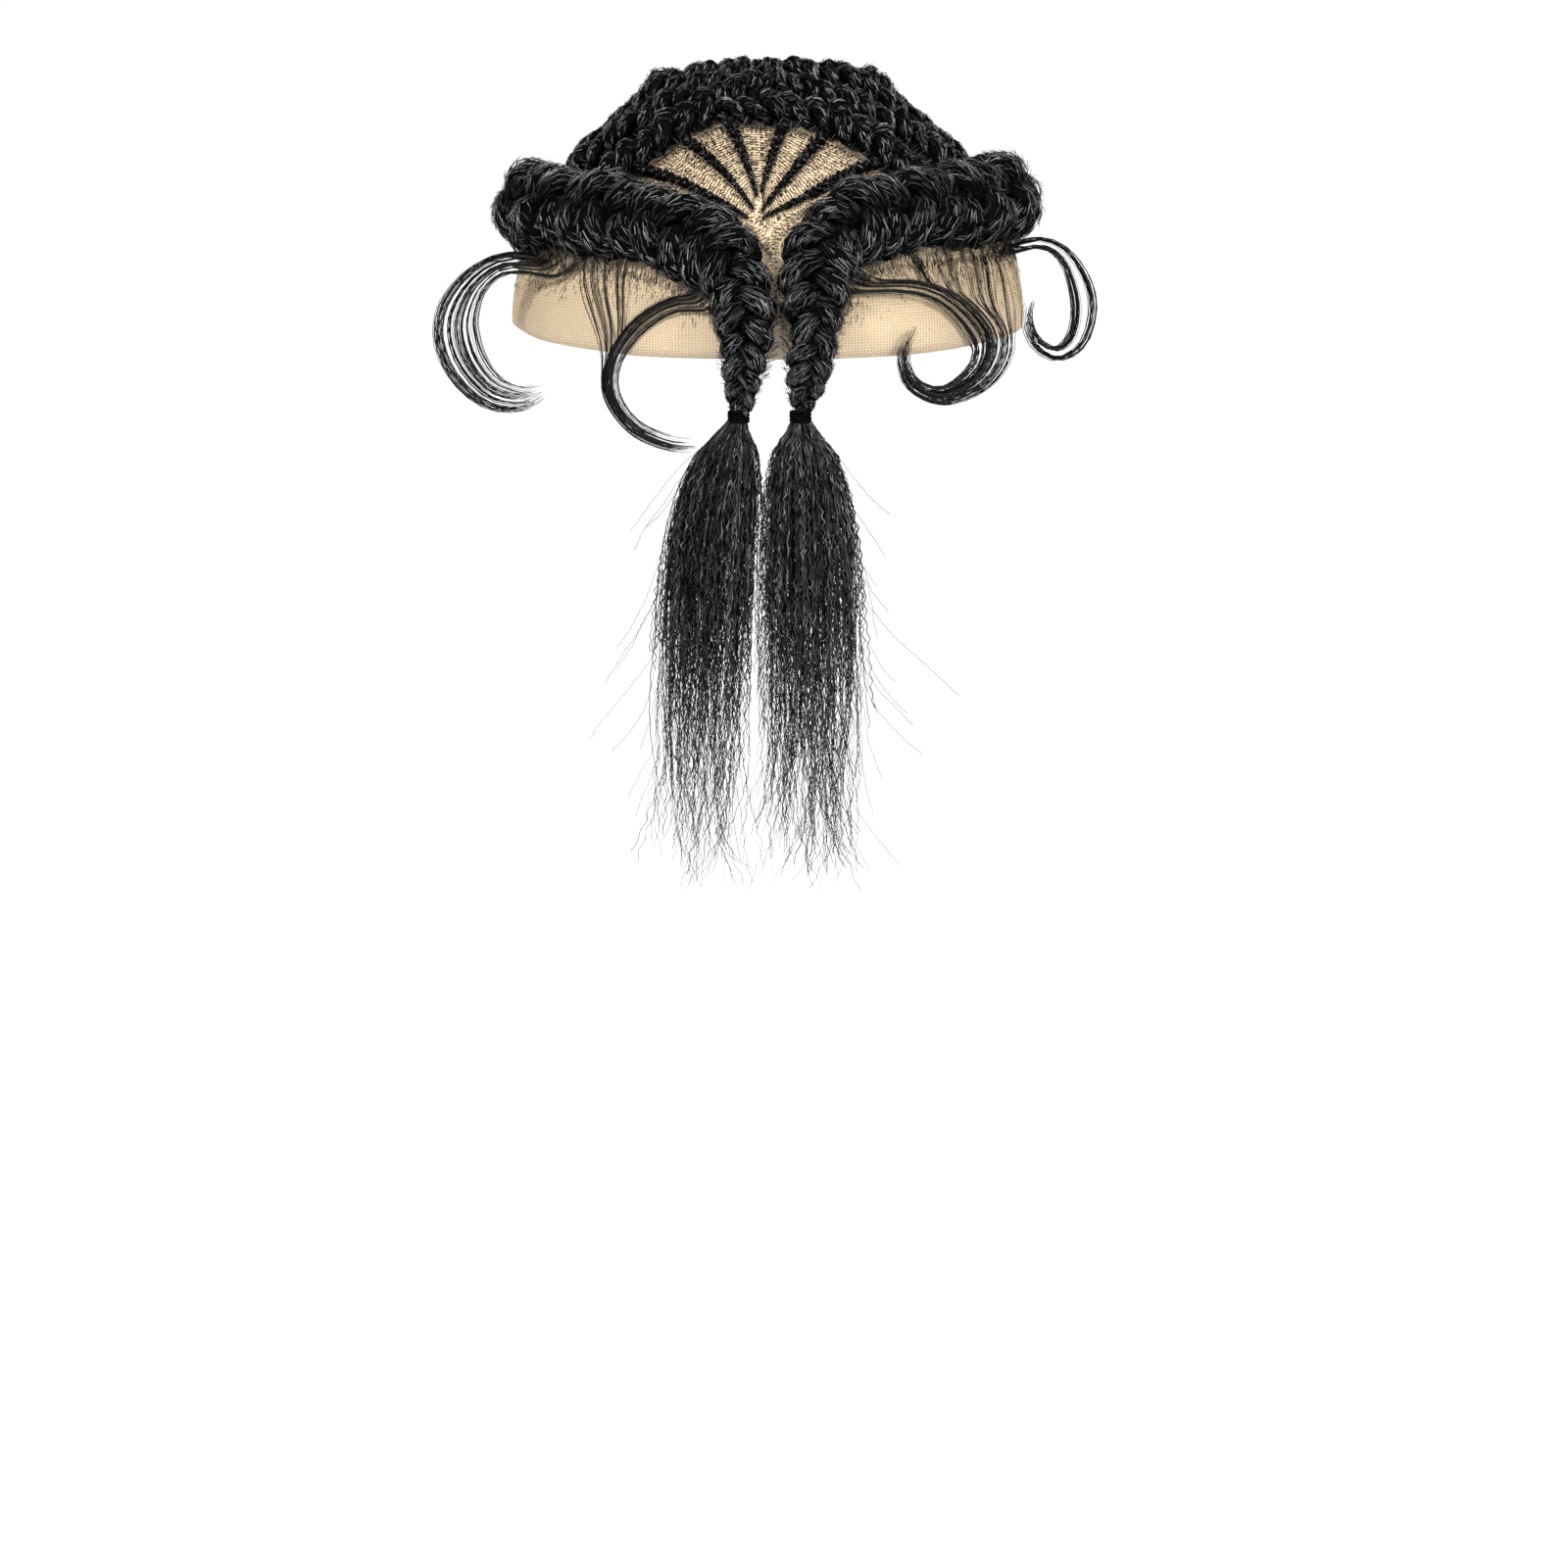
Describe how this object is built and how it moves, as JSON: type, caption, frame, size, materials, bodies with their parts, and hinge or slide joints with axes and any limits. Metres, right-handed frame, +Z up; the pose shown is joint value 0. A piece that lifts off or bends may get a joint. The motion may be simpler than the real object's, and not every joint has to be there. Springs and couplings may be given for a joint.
{
  "type": "cornrow toupee",
  "caption": "Lace-based hairpiece with feed-in cornrows running into thick side braids that hang down the back to tied tails, with curled locks along the hem.",
  "frame": {"origin": "inside of the lace at the crown, where the top of the head sits", "axes": "+Z up through the crown, -Y towards the back of the head where the tails hang, +Y towards the forehead, +X to the right seen from behind"},
  "size_m": [0.2122, 0.1959, 0.2625],
  "materials": {
    "lace": "fine tan net, matte",
    "braided_hair": "black fibre hair with a soft sheen",
    "loose_hair": "black crimped fibre hair",
    "elastic": "black elastic, matte"
  },
  "bodies": {
    "root": {"lace_base": "lace", "side_braid_left": "braided_hair", "side_braid_right": "braided_hair", "hair_tie_left": "elastic", "hair_tie_right": "elastic", "tail_left": "loose_hair", "tail_right": "loose_hair", "cornrow_left_1": "braided_hair", "cornrow_left_2": "braided_hair", "cornrow_left_3": "braided_hair", "cornrow_left_4": "braided_hair", "cornrow_left_5": "braided_hair", "cornrow_left_6": "braided_hair", "cornrow_left_7": "braided_hair", "cornrow_right_1": "braided_hair", "cornrow_right_2": "braided_hair", "cornrow_right_3": "braided_hair", "cornrow_right_4": "braided_hair", "cornrow_right_5": "braided_hair", "cornrow_right_6": "braided_hair", "cornrow_right_7": "braided_hair", "fan_row_1": "braided_hair", "fan_row_2": "braided_hair", "fan_row_3": "braided_hair", "fan_row_4": "braided_hair", "fan_row_5": "braided_hair", "fan_row_6": "braided_hair", "curl_far_left": "loose_hair", "curl_near_left": "loose_hair", "curl_near_right": "loose_hair", "curl_far_right": "loose_hair"}
  },
  "joints": []
}
